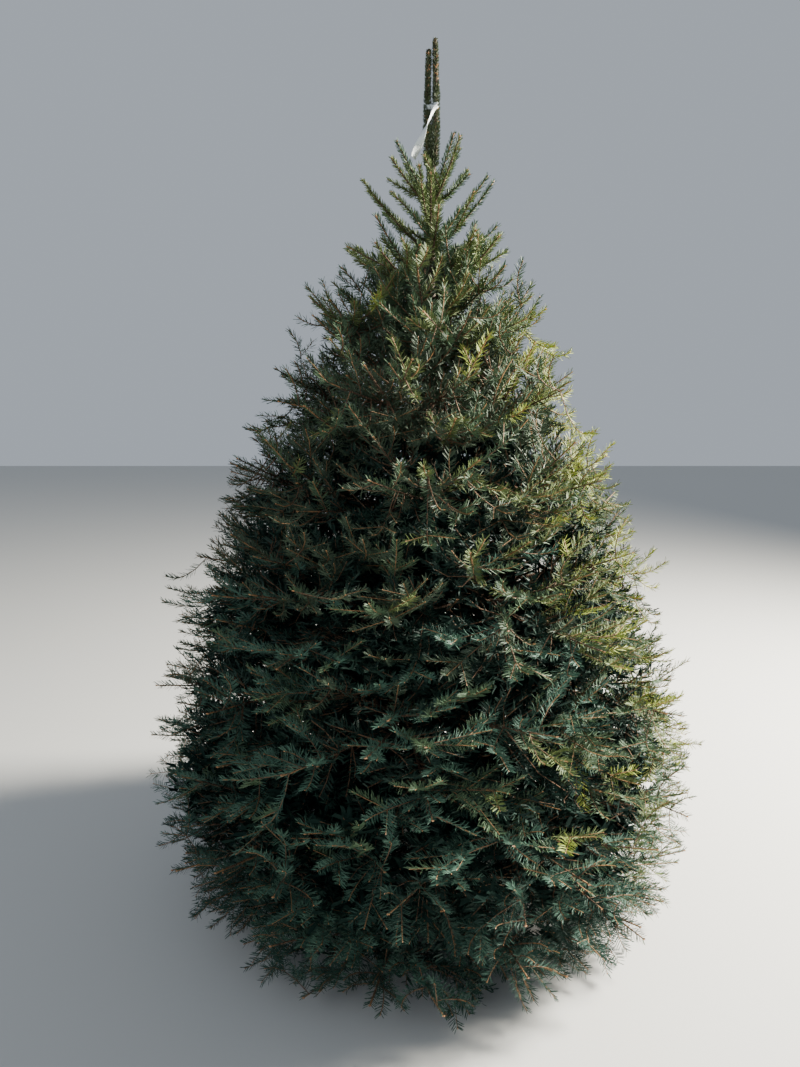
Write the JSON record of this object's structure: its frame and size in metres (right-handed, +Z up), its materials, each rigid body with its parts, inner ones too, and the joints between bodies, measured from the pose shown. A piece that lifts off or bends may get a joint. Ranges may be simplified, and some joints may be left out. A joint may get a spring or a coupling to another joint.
{
  "type": "spruce tree",
  "caption": "Young conical spruce with a full crown down to the ground, whorled boughs, flat needled sprays and a forked leader tied with white tape, cut flat at ground level.",
  "frame": {"origin": "middle of the flat cut under the trunk, at ground level", "axes": "+Z up along the trunk; -Y towards the side the picture was taken from, +X to the right of it"},
  "size_m": [1.7836, 1.7311, 2.7124],
  "materials": {
    "trunk_bark": "rough scaly bark",
    "bough_bark": "rough bark",
    "leader_bark": "young grooved bark",
    "foliage": "matte needles with a waxy sheen",
    "tape": "thin white film"
  },
  "bodies": {
    "root": {"bough_1_1": "bough_bark", "bough_1_2": "bough_bark", "bough_1_3": "bough_bark", "bough_1_4": "bough_bark", "bough_1_5": "bough_bark", "bough_2_1": "bough_bark", "bough_2_2": "bough_bark", "bough_2_3": "bough_bark", "bough_2_4": "bough_bark", "bough_2_5": "bough_bark", "foliage_10_1": "foliage", "foliage_10_2": "foliage", "foliage_10_3": "foliage", "foliage_10_4": "foliage", "foliage_1_1": "foliage", "foliage_1_2": "foliage", "foliage_1_3": "foliage", "foliage_1_4": "foliage", "foliage_1_5": "foliage", "foliage_2_1": "foliage", "foliage_2_2": "foliage", "foliage_2_3": "foliage", "foliage_2_4": "foliage", "foliage_2_5": "foliage", "foliage_3_1": "foliage", "foliage_3_2": "foliage", "foliage_3_3": "foliage", "foliage_3_4": "foliage", "foliage_3_5": "foliage", "foliage_4_1": "foliage", "foliage_4_2": "foliage", "foliage_4_3": "foliage", "foliage_4_4": "foliage", "foliage_4_5": "foliage", "foliage_5_1": "foliage", "foliage_5_2": "foliage", "foliage_5_3": "foliage", "foliage_5_4": "foliage", "foliage_5_5": "foliage", "foliage_6_1": "foliage", "foliage_6_2": "foliage", "foliage_6_3": "foliage", "foliage_6_4": "foliage", "foliage_7_1": "foliage", "foliage_7_2": "foliage", "foliage_7_3": "foliage", "foliage_7_4": "foliage", "foliage_8_1": "foliage", "foliage_8_2": "foliage", "foliage_8_3": "foliage", "foliage_8_4": "foliage", "foliage_9_1": "foliage", "foliage_9_2": "foliage", "foliage_9_3": "foliage", "foliage_9_4": "foliage", "leader_left": "leader_bark", "leader_right": "leader_bark", "marker_tape": "tape", "trunk": "trunk_bark"}
  },
  "joints": []
}
